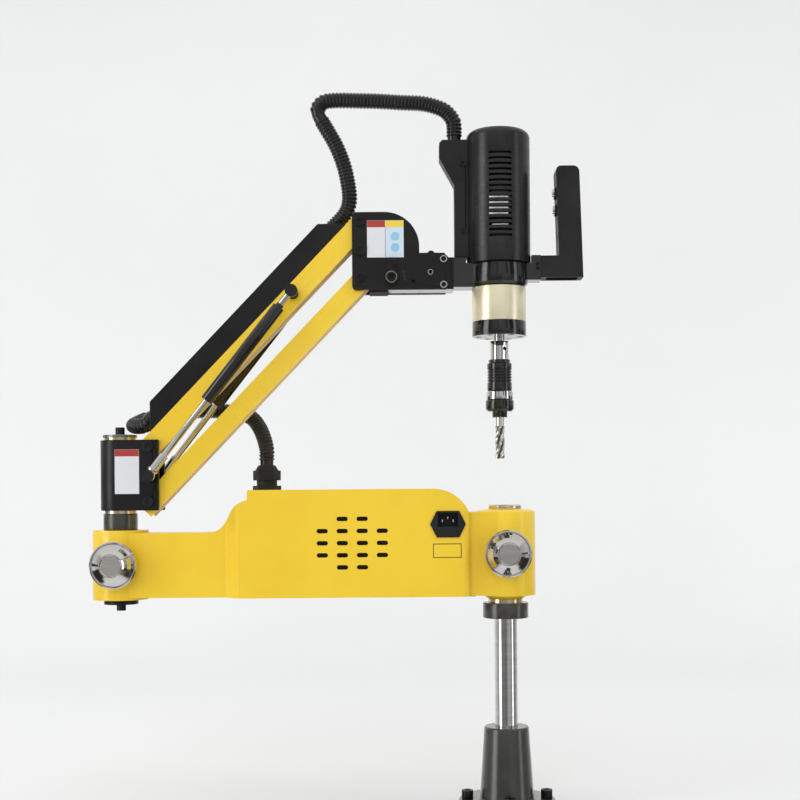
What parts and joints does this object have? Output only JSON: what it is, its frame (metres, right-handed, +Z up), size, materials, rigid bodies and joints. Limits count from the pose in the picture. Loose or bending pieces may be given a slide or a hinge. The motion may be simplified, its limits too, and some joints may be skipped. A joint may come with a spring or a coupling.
{
  "type": "articulated drilling and tapping machine",
  "caption": "Drilling and tapping machine: column foot, swivelling arm, sprung parallelogram links and tilting motor head with planetary gearbox, quick-change collet and push-button handle.",
  "frame": {"origin": "on the column's axis at the underside of the foot, which is the centre of the fixing screws' circle", "axes": "+Z up along the column; -Y is the front with vents, inlet and knobs; the lower arm points along -X at rest"},
  "size_m": [0.6389, 0.1485, 0.9516],
  "materials": {
    "foot": "satin",
    "collar": "satin",
    "black_steel": "satin",
    "chrome": "polished",
    "steel": "satin",
    "bronze": "satin",
    "cap": "satin",
    "yellow": "gloss",
    "cover_sheet": "satin",
    "black_paint": "gloss",
    "black_plastic": "matte",
    "hose": "satin",
    "board": "matte",
    "aluminium": "satin",
    "gearbox": "anodised, satin",
    "rotor": "satin",
    "cutter": "ground"
  },
  "bodies": {
    "base": {"base_casting": "foot", "base_screws": "black_steel", "column": "chrome", "support_collar": "collar", "column_bearing": "bronze", "column_cap": "cap"},
    "lower_arm": {"arm_casting": "yellow", "bottom_cover": "cover_sheet", "cover_screws": "black_steel", "arm_bushes": "bronze", "elbow_collar": "black_paint", "power_inlet": "black_plastic", "cable_gland": "black_plastic", "drive_electronics": "board", "lower_conduit": "hose"},
    "column_pad": {"column_clamp_pad": "bronze"},
    "column_knob": {"column_knob": "chrome"},
    "elbow_pad": {"elbow_clamp_pad": "bronze"},
    "elbow_knob": {"elbow_knob": "chrome"},
    "elbow_block": {"pivot_block": "black_paint", "elbow_shaft": "steel", "elbow_end_bolts": "black_steel", "elbow_top_washer": "bronze", "pivot_pins": "black_steel", "lower_ball_studs": "chrome"},
    "upper_link": {"upper_link": "yellow", "link_cover": "black_paint", "upper_link_bushes": "bronze", "upper_ball_studs": "black_steel", "cover_conduit": "hose"},
    "lower_link": {"lower_link": "yellow", "lower_link_bushes": "bronze"},
    "spring_tube": {"spring_tubes": "black_paint", "spring_sockets": "chrome"},
    "spring_rod": {"spring_rods": "chrome"},
    "head_bracket": {"head_plates": "black_paint", "head_spacer": "black_paint", "head_pins": "black_steel"},
    "tilt_lever": {"tilt_lever": "black_steel"},
    "tilt_head": {"tilt_block": "aluminium", "motor_clamp": "black_paint", "motor_cover": "black_paint", "motor_body": "aluminium", "cable_box": "black_plastic", "handle": "black_plastic", "tilt_head_screws": "black_steel", "gearbox_case": "gearbox", "output_flange": "black_steel", "upper_conduit": "hose"},
    "rotor": {"motor_rotor": "rotor"},
    "planet_1": {"planet_gear_1": "steel"},
    "planet_2": {"planet_gear_2": "steel"},
    "planet_3": {"planet_gear_3": "steel"},
    "spindle": {"output_shaft": "steel", "tool_adapter": "chrome", "collet_nut": "black_steel", "cutter": "cutter"},
    "sleeve": {"release_sleeve": "black_plastic"},
    "button_up": {"upper_button": "chrome"},
    "button_down": {"lower_button": "chrome"}
  },
  "joints": [
    {"name": "base_swivel", "type": "hinge", "parent": "base", "child": "lower_arm", "pos_m": [0, 0, 0.33], "axis": [0, 0, 1], "continuous": true},
    {"name": "column_pad_slide", "type": "slide", "parent": "lower_arm", "child": "column_pad", "axis": [0, -1, 0], "range_m": [0, 0.00175]},
    {"name": "column_knob_turn", "type": "hinge", "parent": "column_pad", "child": "column_knob", "pos_m": [0, 0, 0.334], "axis": [0, -1, 0], "range_deg": [0, 361]},
    {"name": "elbow_pad_slide", "type": "slide", "parent": "lower_arm", "child": "elbow_pad", "axis": [0, -1, 0], "range_m": [0, 0.00175]},
    {"name": "elbow_knob_turn", "type": "hinge", "parent": "elbow_pad", "child": "elbow_knob", "pos_m": [-0.5, 0, 0.323], "axis": [0, -1, 0], "range_deg": [0, 361]},
    {"name": "elbow_swivel", "type": "hinge", "parent": "lower_arm", "child": "elbow_block", "pos_m": [-0.5, 0, 0.33], "axis": [0, 0, 1], "range_deg": [-150, 150], "deforming": ["lower_conduit"]},
    {"name": "link_lift", "type": "hinge", "parent": "elbow_block", "child": "upper_link", "pos_m": [-0.459, 0, 0.4745], "axis": [0, -1, 0], "range_deg": [-20, 18]},
    {"name": "lower_link_lift", "type": "hinge", "parent": "elbow_block", "child": "lower_link", "pos_m": [-0.459, 0, 0.4035], "axis": [0, -1, 0], "range_deg": [-21, 19]},
    {"name": "spring_tube_swing", "type": "hinge", "parent": "upper_link", "child": "spring_tube", "pos_m": [-0.27212, 0, 0.66938], "axis": [0, -1, 0], "range_deg": [-2, 2]},
    {"name": "spring_rod_slide", "type": "slide", "parent": "spring_tube", "child": "spring_rod", "axis": [-0.6168, 0, -0.7871], "range_m": [-0.0098, 0.0088]},
    {"name": "head_level", "type": "hinge", "parent": "upper_link", "child": "head_bracket", "pos_m": [-0.18491, 0, 0.76032], "axis": [0, -1, 0], "range_deg": [-19, 21]},
    {"name": "tilt_lever_turn", "type": "hinge", "parent": "head_bracket", "child": "tilt_lever", "pos_m": [-0.14501, 0, 0.68802], "axis": [0, -1, 0], "range_deg": [-60, 90]},
    {"name": "head_tilt", "type": "hinge", "parent": "head_bracket", "child": "tilt_head", "pos_m": [-0.14501, 0, 0.68802], "axis": [0, -1, 0], "range_deg": [0, 45], "deforming": ["upper_conduit"]},
    {"name": "spindle_spin", "type": "hinge", "parent": "tilt_head", "child": "spindle", "pos_m": [-0.00551, 0, 0.6], "axis": [0, 0, 1], "continuous": true},
    {"name": "rotor_spin", "type": "hinge", "parent": "tilt_head", "child": "rotor", "pos_m": [-0.00551, 0, 0.75], "axis": [0, 0, 1], "continuous": true},
    {"name": "planet_1_spin", "type": "hinge", "parent": "spindle", "child": "planet_1", "pos_m": [0.01249, 0, 0.648], "axis": [0, 0, 1], "continuous": true},
    {"name": "planet_2_spin", "type": "hinge", "parent": "spindle", "child": "planet_2", "pos_m": [-0.01451, 0.01559, 0.648], "axis": [0, 0, 1], "continuous": true},
    {"name": "planet_3_spin", "type": "hinge", "parent": "spindle", "child": "planet_3", "pos_m": [-0.01451, -0.01559, 0.648], "axis": [0, 0, 1], "continuous": true},
    {"name": "sleeve_slide", "type": "slide", "parent": "spindle", "child": "sleeve", "axis": [0, 0, 1], "range_m": [0, 0.004], "stiffness_N_per_m": 1500, "springref_m": -0.002},
    {"name": "upper_button_press", "type": "slide", "parent": "tilt_head", "child": "button_up", "axis": [1, 0, 0], "range_m": [0, 0.0025], "stiffness_N_per_m": 400, "springref_m": -0.001},
    {"name": "lower_button_press", "type": "slide", "parent": "tilt_head", "child": "button_down", "axis": [1, 0, 0], "range_m": [0, 0.0025], "stiffness_N_per_m": 400, "springref_m": -0.001}
  ],
  "couplings": [
    {"joint": "column_knob_turn", "follows": "column_pad_slide", "rad_per_m": 3590.4},
    {"joint": "elbow_knob_turn", "follows": "elbow_pad_slide", "rad_per_m": 3590.4},
    {"joint": "lower_link_lift", "follows": "link_lift", "ratio": 1},
    {"joint": "head_level", "follows": "link_lift", "ratio": -1},
    {"joint": "spring_tube_swing", "follows": "link_lift", "ratio": -0.09095},
    {"joint": "spring_rod_slide", "follows": "link_lift", "m_per_rad": 0.026958},
    {"joint": "rotor_spin", "follows": "spindle_spin", "ratio": 4},
    {"joint": "planet_1_spin", "follows": "spindle_spin", "ratio": -3},
    {"joint": "planet_2_spin", "follows": "spindle_spin", "ratio": -3},
    {"joint": "planet_3_spin", "follows": "spindle_spin", "ratio": -3}
  ]
}
